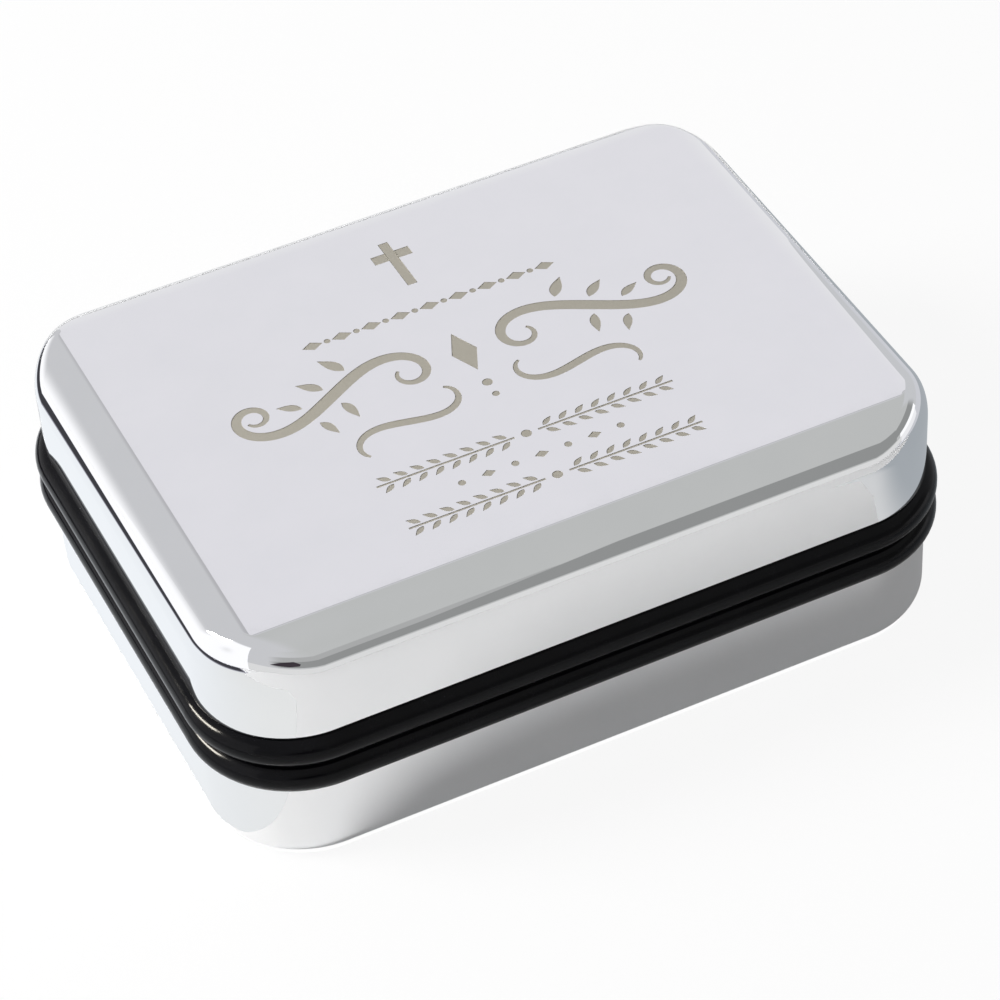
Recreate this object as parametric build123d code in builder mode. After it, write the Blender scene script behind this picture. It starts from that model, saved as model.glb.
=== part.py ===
"""A hinged keepsake box: two pressed, plated shells on black moulded rims.

The frame: X along the long side, -Y the front, +Y the hinged back, +Z up.
The origin is the centre of the flat underside. All sizes are millimetres.
"""

from build123d import *
from math import cos, radians, sin
import os

# ---------------------------------------------------------------- driving sizes
box_length = 80.0           # outside of the metal walls, along X
box_width = 60.0            # outside of the metal walls, along Y
box_height = 28.3           # underside to lid top
seam_height = 13.4          # where lid and base meet
wall_corner_radius = 10.5   # upright corners, in plan

sheet = 0.5                 # thickness of the pressed metal
lid_edge_radius = 4.6       # rounded edge between lid wall and lid top
panel_corner_radius = 0.6   # corners of the flat top panel, nearly a mitre
corner_growth = 0.7         # how soon the corner opens out below the panel
edge_steps = 9              # bands of the rounded edge, 10 degrees each
base_edge_radius = 2.2      # rounded edge round the underside

bead_height = 3.4           # one black bead, up the wall
bead_reach = 1.2            # how far a bead stands out of the metal wall
seam_gap = 0.1              # air between the closed rims
glue_gap = 0.05             # between a rim and the metal round it
rim_wall = 1.1              # rim wall inside the metal
rim_wall_depth = 4.0        # how far that wall reaches past the metal's edge
rim_lead_in = 0.25          # chamfer on the end of the rim wall
ledge_reach = 3.0           # inner edge of the rim's ledge, from the outside of the metal
ledge_thickness = 2.2

lip_start = 2.0             # locating lip on the base rim, from the outside of the metal
lip_thickness = 0.8
lip_height = 1.0
lip_clearance = 0.15        # between the lip and its rebate in the lid rim
lip_chamfer = 0.15

hinge_back = 0.32           # hinge axis behind the metal wall: the beads stop the lid at 103 degrees
pin_diameter = 1.2
pin_clearance = 0.02        # radial, in the knuckles
pin_head_radius = 0.85
pin_head_length = 0.3
leaf_thickness = 0.5
knuckle_count = 5
knuckle_length = 7.1
knuckle_gap = 0.15
knuckle_clearance = 0.2     # round the barrel, in the rims and the opposite leaf
leaf_inner_inset = 6.1      # inner edge of the leaves, from the outside of the metal
leaf_corner_radius = 1.0
leaf_seat_clearance = 0.05

land_margin = 0.5           # rim material past the leaf, inwards
land_side_margin = 2.0      # rim material past the leaf, sideways
screw_inset = 4.6           # screw line, from the outside of the metal
screw_spacing = 12.0
screw_count = 3
screw_shank_radius = 0.65
screw_head_radius = 1.15
screw_length = 3.4
screw_point_length = 0.7
screw_clearance = 0.02
screw_slot_depth = 0.3
screw_slot_width = 0.3
boss_radius = 1.5
boss_depth = 2.0

lining_gap = 0.1            # between the rim wall and the wall card
card_thickness = 0.6
velvet_thickness = 0.6
lining_joint = 0.3          # where the bent strip's ends meet, at the back
base_lining_foot = 0.7      # foot of the base strip, above the underside
lid_lining_drop = 3.8       # end of the lid strip, below the lid's top

pad_gap = 0.1               # between the pads and the wall velvet
board_thickness = 1.0
board_gap = 0.1             # between the base's board and the metal it lies on
lid_board_gap = 0.3         # the same in the lid, clear of the rounded edge
foam_thickness = 2.2
cover_thickness = 0.6
cover_tuck = 0.4            # how far a cover stops short of its board's back
pad_edge_radius = 1.3

# ---------------------------------------------------------------- worked-out sizes
lid_edge = seam_height + bead_height
base_edge = seam_height - bead_height
lid_face = seam_height + seam_gap / 2
base_face = seam_height - seam_gap / 2

rim_wall_start = sheet + glue_gap
rim_wall_end = rim_wall_start + rim_wall
ledge_top = lid_face + ledge_thickness
ledge_bottom = base_face - ledge_thickness
lip_end = lip_start + lip_thickness

hinge_y = box_width / 2 + hinge_back
pin_radius = pin_diameter / 2
bore_radius = pin_radius + pin_clearance
barrel_radius = bore_radius + leaf_thickness
barrel_room = barrel_radius + knuckle_clearance
knuckle_pitch = knuckle_length + knuckle_gap
hinge_length = knuckle_count * knuckle_pitch - knuckle_gap
leaf_inner_y = box_width / 2 - leaf_inner_inset
land_inner_y = leaf_inner_y - land_margin
land_length = hinge_length + 2 * land_side_margin
land_outer_y = box_width / 2 - rim_wall_end
land_width = land_outer_y - land_inner_y
land_y = (land_outer_y + land_inner_y) / 2
barrel_notch = hinge_length + 2 * (pin_head_length + knuckle_clearance)
screw_y = box_width / 2 - screw_inset

card_start = rim_wall_end + lining_gap
card_end = card_start + card_thickness
velvet_end = card_end + velvet_thickness
base_lining_top = ledge_bottom - leaf_seat_clearance
lid_lining_foot = ledge_top + leaf_seat_clearance
lid_lining_top = box_height - lid_lining_drop

cover_start = velvet_end + pad_gap
board_start = cover_start + cover_thickness
base_board_bottom = sheet + board_gap
base_board_top = base_board_bottom + board_thickness
base_foam_top = base_board_top + foam_thickness
lid_board_top = box_height - sheet - lid_board_gap
lid_board_bottom = lid_board_top - board_thickness
lid_foam_bottom = lid_board_bottom - foam_thickness
foam_edge = pad_edge_radius - cover_thickness
base_cover_back = base_board_bottom + cover_tuck
base_cover_top = base_foam_top + cover_thickness
lid_cover_back = lid_board_top - cover_tuck
lid_cover_bottom = lid_foam_bottom - cover_thickness

base_knuckles = range(0, knuckle_count, 2)
lid_knuckles = range(1, knuckle_count, 2)


def plan(inset, mode=Mode.ADD):
    """The box's rounded plan, moved inwards by inset, in the current sketch."""
    length = box_length - 2 * inset
    width = box_width - 2 * inset
    RectangleRounded(length, width, wall_corner_radius - inset, mode=mode)


def plan_ring(outer_inset, inner_inset):
    """The band between two insets of the plan, in the current sketch."""
    plan(outer_inset)
    plan(inner_inset, mode=Mode.SUBTRACT)


def lid_edge_sections(inset):
    """Sections of the lid's rounded edge, for a surface moved inwards by inset.

    Each is a rounded rectangle. Its corners are nearly sharp at the flat panel
    and open out to the full wall radius, which draws a short mitre on each corner.
    """
    radius = lid_edge_radius - inset
    wall_corner = wall_corner_radius - inset
    sections = []
    for step in range(edge_steps + 1):
        turn = radians(90.0 * step / edge_steps)
        side = inset + radius * (1 - sin(turn))
        height = box_height - inset - radius * (1 - cos(turn))
        opening = sin(turn) ** corner_growth
        corner = panel_corner_radius + (wall_corner - panel_corner_radius) * opening
        with BuildSketch(Plane.XY.offset(height)) as section:
            RectangleRounded(box_length - 2 * side, box_width - 2 * side, corner)
        sections.append(section.sketch)
    return sections


def knuckle_start(index):
    """Where a knuckle begins along X."""
    return -hinge_length / 2 + index * knuckle_pitch


# ---------------------------------------------------------------- metal shells
with BuildPart() as lid_core:
    loft(sections=lid_edge_sections(sheet), ruled=True)
    with BuildSketch(Plane.XY.offset(lid_edge)):
        plan(sheet)
    extrude(amount=box_height - lid_edge_radius - lid_edge)

with BuildPart() as lid_shell:
    loft(sections=lid_edge_sections(0), ruled=True)
    with BuildSketch(Plane.XY.offset(lid_edge)):
        plan(0)
    extrude(amount=box_height - lid_edge_radius - lid_edge)
    add(lid_core.part, mode=Mode.SUBTRACT)
lid_shell.part.label = "lid_shell"

with BuildPart() as base_shell:
    with BuildSketch():
        plan(0)
    extrude(amount=base_edge)
    underside_edges = base_shell.edges().group_by(Axis.Z)[0]
    fillet(underside_edges, radius=base_edge_radius)
    mouth = base_shell.faces().sort_by(Axis.Z)[-1]
    offset(amount=-sheet, openings=mouth)
base_shell.part.label = "base_shell"

# ---------------------------------------------------------------- moulded rims
with BuildSketch() as metal_plan:
    plan(0)
rim_path = metal_plan.sketch.face().outer_wire()
# the rims' sections are drawn with x inwards from the metal's outside and y upwards
path_direction = rim_path % 0
rim_section = Plane(
    origin=rim_path @ 0,
    x_dir=Vector(0, 0, 1).cross(path_direction),
    z_dir=path_direction,
)

with BuildPart() as lid_rim:
    with BuildSketch(rim_section):
        with BuildLine():
            ThreePointArc(
                (0, lid_face),
                (-bead_reach, (lid_face + lid_edge) / 2),
                (0, lid_edge),
            )
            Polyline(
                (0, lid_edge),
                (rim_wall_start, lid_edge),
                (rim_wall_start, lid_edge + rim_wall_depth - rim_lead_in),
                (rim_wall_start + rim_lead_in, lid_edge + rim_wall_depth),
                (rim_wall_end, lid_edge + rim_wall_depth),
                (rim_wall_end, ledge_top),
                (ledge_reach, ledge_top),
                (ledge_reach, base_face + lip_height + lip_clearance),
                (lip_start - lip_clearance, base_face + lip_height + lip_clearance),
                (lip_start - lip_clearance, lid_face),
                (0, lid_face),
            )
        make_face()
    sweep(path=rim_path)
    # the land that carries the hinge leaf, with a boss over each screw
    with BuildSketch(Plane.XY.offset(lid_face)):
        with Locations((0, land_y)):
            Rectangle(land_length, land_width)
    extrude(amount=ledge_thickness)
    with BuildSketch(Plane.XY.offset(ledge_top)):
        with Locations((0, screw_y)):
            with GridLocations(screw_spacing, 0, screw_count, 1):
                Circle(boss_radius)
    extrude(amount=boss_depth)
    # room for the barrel and a seat for the leaf
    with BuildSketch(Plane.YZ.offset(-barrel_notch / 2)):
        with Locations((hinge_y, seam_height)):
            Circle(barrel_room)
    extrude(amount=barrel_notch, mode=Mode.SUBTRACT)
    with BuildSketch(Plane.XY.offset(lid_face)):
        with Locations((0, (hinge_y + leaf_inner_y - leaf_seat_clearance) / 2)):
            Rectangle(
                hinge_length + 2 * leaf_seat_clearance,
                hinge_y - leaf_inner_y + leaf_seat_clearance,
            )
    extrude(amount=leaf_thickness + leaf_seat_clearance, mode=Mode.SUBTRACT)
    with BuildSketch(Plane.XY.offset(lid_face)):
        with Locations((0, screw_y)):
            with GridLocations(screw_spacing, 0, screw_count, 1):
                Circle(screw_shank_radius + screw_clearance)
    extrude(amount=screw_length + screw_clearance, mode=Mode.SUBTRACT)
lid_rim.part.label = "lid_rim"

with BuildPart() as base_rim:
    with BuildSketch(rim_section):
        with BuildLine():
            ThreePointArc(
                (0, base_edge),
                (-bead_reach, (base_face + base_edge) / 2),
                (0, base_face),
            )
            Polyline(
                (0, base_face),
                (lip_start, base_face),
                (lip_start, base_face + lip_height - lip_chamfer),
                (lip_start + lip_chamfer, base_face + lip_height),
                (lip_end, base_face + lip_height),
                (lip_end, base_face),
                (ledge_reach, base_face),
                (ledge_reach, ledge_bottom),
                (rim_wall_end, ledge_bottom),
                (rim_wall_end, base_edge - rim_wall_depth),
                (rim_wall_start + rim_lead_in, base_edge - rim_wall_depth),
                (rim_wall_start, base_edge - rim_wall_depth + rim_lead_in),
                (rim_wall_start, base_edge),
                (0, base_edge),
            )
        make_face()
    sweep(path=rim_path)
    # the lip stops each side of the hinge
    with BuildSketch(Plane.XY.offset(base_face)):
        with Locations((0, land_y)):
            Rectangle(land_length + 2 * lip_clearance, land_width + 2 * lip_clearance)
    extrude(amount=lip_height, mode=Mode.SUBTRACT)
    with BuildSketch(Plane.XY.offset(ledge_bottom)):
        with Locations((0, land_y)):
            Rectangle(land_length, land_width)
    extrude(amount=ledge_thickness)
    with BuildSketch(Plane.XY.offset(ledge_bottom)):
        with Locations((0, screw_y)):
            with GridLocations(screw_spacing, 0, screw_count, 1):
                Circle(boss_radius)
    extrude(amount=-boss_depth)
    with BuildSketch(Plane.YZ.offset(-barrel_notch / 2)):
        with Locations((hinge_y, seam_height)):
            Circle(barrel_room)
    extrude(amount=barrel_notch, mode=Mode.SUBTRACT)
    with BuildSketch(Plane.XY.offset(base_face)):
        with Locations((0, (hinge_y + leaf_inner_y - leaf_seat_clearance) / 2)):
            Rectangle(
                hinge_length + 2 * leaf_seat_clearance,
                hinge_y - leaf_inner_y + leaf_seat_clearance,
            )
    extrude(amount=-leaf_thickness - leaf_seat_clearance, mode=Mode.SUBTRACT)
    with BuildSketch(Plane.XY.offset(base_face)):
        with Locations((0, screw_y)):
            with GridLocations(screw_spacing, 0, screw_count, 1):
                Circle(screw_shank_radius + screw_clearance)
    extrude(amount=-screw_length - screw_clearance, mode=Mode.SUBTRACT)
base_rim.part.label = "base_rim"


# ---------------------------------------------------------------- hinge
def hinge_leaf(knuckles, other_knuckles, face, direction):
    """One stamped leaf with its rolled knuckles, its mating side at height face."""
    with BuildPart() as leaf:
        leaf_plane = Plane.XY.offset(face)
        with BuildSketch(leaf_plane):
            with Locations((0, (hinge_y + leaf_inner_y) / 2)):
                Rectangle(hinge_length, hinge_y - leaf_inner_y)
        extrude(amount=direction * leaf_thickness)
        inner_corners = leaf.edges().filter_by(Axis.Z).group_by(Axis.Y)[0]
        fillet(inner_corners, radius=leaf_corner_radius)
        for index in knuckles:
            with BuildSketch(Plane.YZ.offset(knuckle_start(index))):
                with Locations((hinge_y, seam_height)):
                    Circle(barrel_radius)
            extrude(amount=knuckle_length)
        for index in other_knuckles:
            with BuildSketch(Plane.YZ.offset(knuckle_start(index) - knuckle_gap)):
                with Locations((hinge_y, seam_height)):
                    Circle(barrel_room)
            extrude(amount=knuckle_length + 2 * knuckle_gap, mode=Mode.SUBTRACT)
        with BuildSketch(Plane.YZ.offset(-hinge_length / 2)):
            with Locations((hinge_y, seam_height)):
                Circle(bore_radius)
        extrude(amount=hinge_length, mode=Mode.SUBTRACT)
        with Locations(Plane(origin=(0, screw_y, face), z_dir=(0, 0, -direction))):
            with GridLocations(screw_spacing, 0, screw_count, 1):
                CounterSinkHole(
                    screw_shank_radius + screw_clearance,
                    screw_head_radius + screw_clearance,
                    counter_sink_angle=90,
                )
    return leaf.part


def hinge_screws(face, direction):
    """Three countersunk screws, their heads flush with a leaf's mating side."""
    head_depth = screw_head_radius - screw_shank_radius
    with BuildPart() as screws:
        with BuildSketch(Plane(origin=(0, 0, 0), x_dir=(1, 0, 0), z_dir=(0, -1, 0))):
            with BuildLine():
                Polyline(
                    (0, 0),
                    (screw_head_radius, 0),
                    (screw_shank_radius, -head_depth),
                    (screw_shank_radius, screw_point_length - screw_length),
                    (0, -screw_length),
                    close=True,
                )
            make_face()
        revolve(axis=Axis.Z)
        with BuildSketch():
            Rectangle(2 * screw_head_radius, screw_slot_width)
        extrude(amount=-screw_slot_depth, mode=Mode.SUBTRACT)
    row = []
    for index in range(screw_count):
        x = (index - (screw_count - 1) / 2) * screw_spacing
        seat = Plane(origin=(x, screw_y, face), x_dir=(1, 0, 0), z_dir=(0, 0, direction))
        row.append(screws.part.moved(seat.location))
    return Compound(children=row)


base_leaf_part = hinge_leaf(base_knuckles, lid_knuckles, base_face, -1)
base_leaf_part.label = "base_hinge_leaf"
lid_leaf_part = hinge_leaf(lid_knuckles, base_knuckles, lid_face, 1)
lid_leaf_part.label = "lid_hinge_leaf"
base_screws_part = hinge_screws(base_face, 1)
base_screws_part.label = "base_hinge_screws"
lid_screws_part = hinge_screws(lid_face, -1)
lid_screws_part.label = "lid_hinge_screws"

with BuildPart() as hinge_pin:
    with BuildSketch(Plane.YZ.offset(-hinge_length / 2)):
        with Locations((hinge_y, seam_height)):
            Circle(pin_radius)
    extrude(amount=hinge_length)
    for side in (-1, 1):
        with BuildSketch(Plane.YZ.offset(side * hinge_length / 2)):
            with Locations((hinge_y, seam_height)):
                Circle(pin_head_radius)
        extrude(amount=side * pin_head_length)
    head_rims = hinge_pin.edges().filter_by(GeomType.CIRCLE).sort_by(Axis.X)
    chamfer([head_rims[0], head_rims[-1]], length=pin_head_length / 2)
hinge_pin.part.label = "hinge_pin"


# ---------------------------------------------------------------- linings
def wall_strip(outer_inset, inner_inset, bottom, top):
    """A strip bent round inside the walls, its ends meeting at the back."""
    with BuildPart() as strip:
        with BuildSketch(Plane.XY.offset(bottom)):
            plan_ring(outer_inset, inner_inset)
            with Locations((0, box_width / 2 - (outer_inset + inner_inset) / 2)):
                Rectangle(lining_joint, 2 * inner_inset, mode=Mode.SUBTRACT)
        extrude(amount=top - bottom)
    return strip.part


base_card_part = wall_strip(card_start, card_end, base_lining_foot, base_lining_top)
base_card_part.label = "base_wall_card"
base_velvet_part = wall_strip(card_end, velvet_end, base_lining_foot, base_lining_top)
base_velvet_part.label = "base_wall_velvet"
lid_card_part = wall_strip(card_start, card_end, lid_lining_foot, lid_lining_top)
lid_card_part.label = "lid_wall_card"
lid_velvet_part = wall_strip(card_end, velvet_end, lid_lining_foot, lid_lining_top)
lid_velvet_part.label = "lid_wall_velvet"


def pad_body(inset, back, front, ease, edge_size):
    """A flat pad, from its back to its front height, its front edge eased by fillet or chamfer."""
    with BuildPart() as pad:
        with BuildSketch(Plane.XY.offset(back)):
            plan(inset)
        extrude(amount=front - back)
        front_face = pad.faces().sort_by(Axis.Z)[-1 if front > back else 0]
        ease(front_face.edges(), edge_size)
    return pad.part


with BuildPart() as base_pad_board:
    with BuildSketch(Plane.XY.offset(base_board_bottom)):
        plan(board_start)
    extrude(amount=board_thickness)
base_pad_board.part.label = "base_pad_board"

with BuildPart() as lid_pad_board:
    with BuildSketch(Plane.XY.offset(lid_board_bottom)):
        plan(board_start)
    extrude(amount=board_thickness)
lid_pad_board.part.label = "lid_pad_board"

base_foam_part = pad_body(board_start, base_board_top, base_foam_top, chamfer, foam_edge)
base_foam_part.label = "base_pad_foam"
lid_foam_part = pad_body(board_start, lid_board_bottom, lid_foam_bottom, chamfer, foam_edge)
lid_foam_part.label = "lid_pad_foam"

with BuildPart() as base_pad_cover:
    add(pad_body(cover_start, base_cover_back, base_cover_top, fillet, pad_edge_radius))
    add(base_pad_board.part, mode=Mode.SUBTRACT)
    add(base_foam_part, mode=Mode.SUBTRACT)
base_pad_cover.part.label = "base_pad_cover"

with BuildPart() as lid_pad_cover:
    add(pad_body(cover_start, lid_cover_back, lid_cover_bottom, fillet, pad_edge_radius))
    add(lid_pad_board.part, mode=Mode.SUBTRACT)
    add(lid_foam_part, mode=Mode.SUBTRACT)
lid_pad_cover.part.label = "lid_pad_cover"

# ---------------------------------------------------------------- files
pieces = [
    lid_shell.part,
    base_shell.part,
    lid_rim.part,
    base_rim.part,
    lid_leaf_part,
    base_leaf_part,
    hinge_pin.part,
    lid_screws_part,
    base_screws_part,
    lid_card_part,
    lid_velvet_part,
    base_card_part,
    base_velvet_part,
    lid_pad_board.part,
    lid_foam_part,
    lid_pad_cover.part,
    base_pad_board.part,
    base_foam_part,
    base_pad_cover.part,
]
os.makedirs("parts", exist_ok=True)
for piece in pieces:
    export_step(piece, f"parts/{piece.label}.step")
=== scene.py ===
"""The looks of a hinged keepsake box: chrome-plated shells, black beads, velvet linings.

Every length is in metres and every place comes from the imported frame. The frame: X along
the box, -Y its front, +Y its hinged back, +Z up, the origin under the middle of the box.
"""

import math

import bmesh
import bpy
from mathutils import Matrix, Vector
from mathutils.noise import noise as noise_value


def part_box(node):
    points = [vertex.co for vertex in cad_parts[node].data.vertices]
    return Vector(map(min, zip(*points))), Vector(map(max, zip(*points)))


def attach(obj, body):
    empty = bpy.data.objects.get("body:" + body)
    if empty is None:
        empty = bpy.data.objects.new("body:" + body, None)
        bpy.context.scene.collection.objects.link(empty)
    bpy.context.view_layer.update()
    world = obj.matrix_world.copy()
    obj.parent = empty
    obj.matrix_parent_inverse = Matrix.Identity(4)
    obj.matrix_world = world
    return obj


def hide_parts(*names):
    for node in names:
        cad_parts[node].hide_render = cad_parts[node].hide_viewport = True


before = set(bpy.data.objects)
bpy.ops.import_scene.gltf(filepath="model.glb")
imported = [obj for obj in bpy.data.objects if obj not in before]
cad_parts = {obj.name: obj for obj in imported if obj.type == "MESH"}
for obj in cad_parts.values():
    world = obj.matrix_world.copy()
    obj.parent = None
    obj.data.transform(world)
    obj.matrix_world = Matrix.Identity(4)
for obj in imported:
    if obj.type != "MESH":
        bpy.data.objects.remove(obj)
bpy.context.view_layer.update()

MM = 0.001
scene = bpy.context.scene

# ---------------------------------------------------------------- sizes of the metalwork
SHEET = 0.5 * MM            # thickness of the pressed sheet
WALL_CORNER = 10.5 * MM     # radius of the upright corners
LID_EDGE = 4.6 * MM         # radius of the lid's rounded edge
PANEL_CORNER = 0.6 * MM     # radius of the corners of the flat panel on top
BASE_EDGE = 2.2 * MM        # radius of the base's rounded foot
GUARD = 0.12 * MM           # how near a flat's own points lie to the curve beside it
CORNER_STEPS = 28
LID_STEPS = 36
BASE_STEPS = 16
MOUTH_STEPS = 6

shell_low, shell_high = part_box("lid_shell")
base_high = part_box("base_shell")[1]
HALF_X = shell_high.x
HALF_Y = shell_high.y
LID_TOP = shell_high.z
LID_MOUTH = shell_low.z
BASE_MOUTH = base_high.z


# ---------------------------------------------------------------- mesh helpers
def rounded_ring(inset, radius, height):
    """Points round the box's plan, moved inwards by inset, with the given corner radius.

    Each flat side has a guard point close to either end, so that shading stays flat on it.
    """
    half_x = HALF_X - inset
    half_y = HALF_Y - inset
    points = []
    for sign_x, sign_y, start in ((1, 1, 0), (-1, 1, 90), (-1, -1, 180), (1, -1, 270)):
        centre = Vector((sign_x * (half_x - radius), sign_y * (half_y - radius), height))
        first = math.radians(start)
        last = math.radians(start + 90)
        lead_in = Vector((math.sin(first), -math.cos(first), 0)) * GUARD
        lead_out = Vector((-math.sin(last), math.cos(last), 0)) * GUARD
        arm = Vector((math.cos(first), math.sin(first), 0)) * radius
        points.append(centre + arm + lead_in)
        for step in range(CORNER_STEPS + 1):
            turn = first + (last - first) * step / CORNER_STEPS
            points.append(centre + Vector((math.cos(turn), math.sin(turn), 0)) * radius)
        arm = Vector((math.cos(last), math.sin(last), 0)) * radius
        points.append(centre + arm + lead_out)
    return points


def linked(name, data):
    """An object in the scene round its data."""
    made = bpy.data.objects.new(name, data)
    scene.collection.objects.link(made)
    return made


def add_tube(build, rings):
    """Faces through rings of equal count, with a flat cap at either end."""
    rows = [[build.verts.new(point) for point in ring] for ring in rings]
    for lower, upper in zip(rows, rows[1:]):
        count = len(lower)
        for index in range(count):
            after = (index + 1) % count
            build.faces.new((lower[index], lower[after], upper[after], upper[index]))
    build.faces.new(rows[0][::-1])
    build.faces.new(rows[-1])


def piece_from(name, build):
    """A piece from a bmesh, with its faces turned outwards."""
    bmesh.ops.recalc_face_normals(build, faces=build.faces)
    mesh = bpy.data.meshes.new(name)
    build.to_mesh(mesh)
    build.free()
    return linked(name, mesh)


def shade_smooth(piece):
    """Makes every face of the piece smooth."""
    faces = piece.data.polygons
    faces.foreach_set("use_smooth", [True] * len(faces))


def mesh_from_rings(name, rings):
    """A smooth piece through rings of equal count, with flat caps."""
    build = bmesh.new()
    add_tube(build, rings)
    piece = piece_from(name, build)
    shade_smooth(piece)
    return piece


def apply_modifiers(piece):
    """Makes the piece's modifiers part of its mesh."""
    bpy.context.view_layer.update()
    graph = bpy.context.evaluated_depsgraph_get()
    mesh = bpy.data.meshes.new_from_object(piece.evaluated_get(graph))
    piece.modifiers.clear()
    piece.data = mesh


def set_material(piece, material):
    """Gives the whole piece one material."""
    piece.data.materials.clear()
    piece.data.materials.append(material)


# ---------------------------------------------------------------- materials
NOISE_LOW = 0.3             # nearly all of a noise texture lies between these two
NOISE_HIGH = 0.7


def new_material(name, **settings):
    """A material, its node tree and its Principled shader, with some sockets of that set."""
    material = bpy.data.materials.new(name)
    material.use_nodes = True
    tree = material.node_tree
    shader = tree.nodes["Principled BSDF"]
    for socket, value in settings.items():
        shader.inputs[socket.replace("_", " ")].default_value = value
    return material, tree, shader


def noise(tree, scale, detail, roughness):
    """Noise in the object's own space, scale in features per metre."""
    place = tree.nodes.new("ShaderNodeTexCoord")
    texture = tree.nodes.new("ShaderNodeTexNoise")
    texture.inputs["Scale"].default_value = scale
    texture.inputs["Detail"].default_value = detail
    texture.inputs["Roughness"].default_value = roughness
    tree.links.new(place.outputs["Object"], texture.inputs["Vector"])
    return texture.outputs["Fac"]


def spread(tree, source, low=0.0, high=1.0):
    """A noise's own range spread between two values."""
    scale = tree.nodes.new("ShaderNodeMapRange")
    scale.inputs["From Min"].default_value = NOISE_LOW
    scale.inputs["From Max"].default_value = NOISE_HIGH
    scale.inputs["To Min"].default_value = low
    scale.inputs["To Max"].default_value = high
    tree.links.new(source, scale.inputs["Value"])
    return scale.outputs["Result"]


def bump(tree, source, distance, strength=1.0):
    """Relief of the given depth in metres."""
    relief = tree.nodes.new("ShaderNodeBump")
    relief.inputs["Distance"].default_value = distance
    relief.inputs["Strength"].default_value = strength
    tree.links.new(source, relief.inputs["Height"])
    return relief.outputs["Normal"]


def blended(tree, source, first, second):
    """A colour between two, by a texture."""
    mix = tree.nodes.new("ShaderNodeMix")
    mix.data_type = "RGBA"
    mix.inputs["A"].default_value = (*first, 1.0)
    mix.inputs["B"].default_value = (*second, 1.0)
    tree.links.new(source, mix.inputs["Factor"])
    return mix.outputs["Result"]


def chrome_material():
    """Polished plating: a mirror with the faintest haze, fine wipe marks and dust."""
    material, tree, shader = new_material("polished_chrome", Metallic=1.0)
    haze = spread(tree, noise(tree, 140.0, 4.0, 0.6))
    wipes = noise(tree, 900.0, 5.0, 0.7)
    waves = noise(tree, 45.0, 1.0, 0.4)
    tone = blended(tree, haze, (0.855, 0.860, 0.868), (0.875, 0.877, 0.885))
    tree.links.new(tone, shader.inputs["Base Color"])
    tree.links.new(spread(tree, wipes, 0.012, 0.030), shader.inputs["Roughness"])
    tree.links.new(bump(tree, waves, 0.004 * MM), shader.inputs["Normal"])
    return material


def engraved_material():
    """The dull, warm grey floor of the laser engraving."""
    material, tree, shader = new_material("engraved_metal", Specular_IOR_Level=0.15)
    grain = noise(tree, 9000.0, 3.0, 0.7)
    tone = blended(tree, spread(tree, grain), (0.375, 0.350, 0.295), (0.455, 0.430, 0.370))
    tree.links.new(tone, shader.inputs["Base Color"])
    tree.links.new(spread(tree, grain, 0.70, 0.85), shader.inputs["Roughness"])
    tree.links.new(bump(tree, grain, 0.02 * MM, 0.6), shader.inputs["Normal"])
    return material


def bead_material():
    """Moulded black plastic, glossy, with a slight orange-peel and finger haze."""
    material, tree, shader = new_material("black_plastic", Specular_IOR_Level=0.12)
    haze = noise(tree, 260.0, 4.0, 0.6)
    peel = noise(tree, 1500.0, 2.0, 0.5)
    tone = blended(tree, spread(tree, haze), (0.0018, 0.0018, 0.0026), (0.0036, 0.0035, 0.0046))
    tree.links.new(tone, shader.inputs["Base Color"])
    tree.links.new(spread(tree, haze, 0.10, 0.16), shader.inputs["Roughness"])
    tree.links.new(bump(tree, peel, 0.002 * MM, 0.5), shader.inputs["Normal"])
    return material


def steel_material(name, tint, along_x):
    """Rolled steel with fine lines, along X or along Z."""
    fine, coarse = 9000.0, 250.0        # features per metre across the lines and along them
    stretched = (coarse, fine, fine) if along_x else (fine, fine, coarse)
    darker = tuple(value * 0.82 for value in tint)
    material, tree, shader = new_material(name, Metallic=1.0)
    place = tree.nodes.new("ShaderNodeTexCoord")
    stretch = tree.nodes.new("ShaderNodeMapping")
    stretch.inputs["Scale"].default_value = stretched
    tree.links.new(place.outputs["Object"], stretch.inputs["Vector"])
    lines = tree.nodes.new("ShaderNodeTexNoise")
    lines.inputs["Scale"].default_value = 1.0
    lines.inputs["Detail"].default_value = 4.0
    tree.links.new(stretch.outputs["Vector"], lines.inputs["Vector"])
    source = lines.outputs["Fac"]
    tree.links.new(blended(tree, source, darker, tint), shader.inputs["Base Color"])
    tree.links.new(spread(tree, source, 0.24, 0.42), shader.inputs["Roughness"])
    tree.links.new(bump(tree, source, 0.004 * MM, 0.7), shader.inputs["Normal"])
    return material


def velvet_material():
    """Short black pile: soft sheen, brushed patches and a fine nap."""
    material, tree, shader = new_material(
        "black_velvet", Roughness=0.95, Sheen_Weight=0.9, Sheen_Roughness=0.35,
        Sheen_Tint=(0.55, 0.56, 0.62, 1.0))
    patches = spread(tree, noise(tree, 90.0, 4.0, 0.6))
    nap = noise(tree, 5200.0, 3.0, 0.75)
    tone = blended(tree, patches, (0.009, 0.009, 0.012), (0.024, 0.024, 0.030))
    tree.links.new(tone, shader.inputs["Base Color"])
    tree.links.new(bump(tree, nap, 0.22 * MM, 0.9), shader.inputs["Normal"])
    return material


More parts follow.
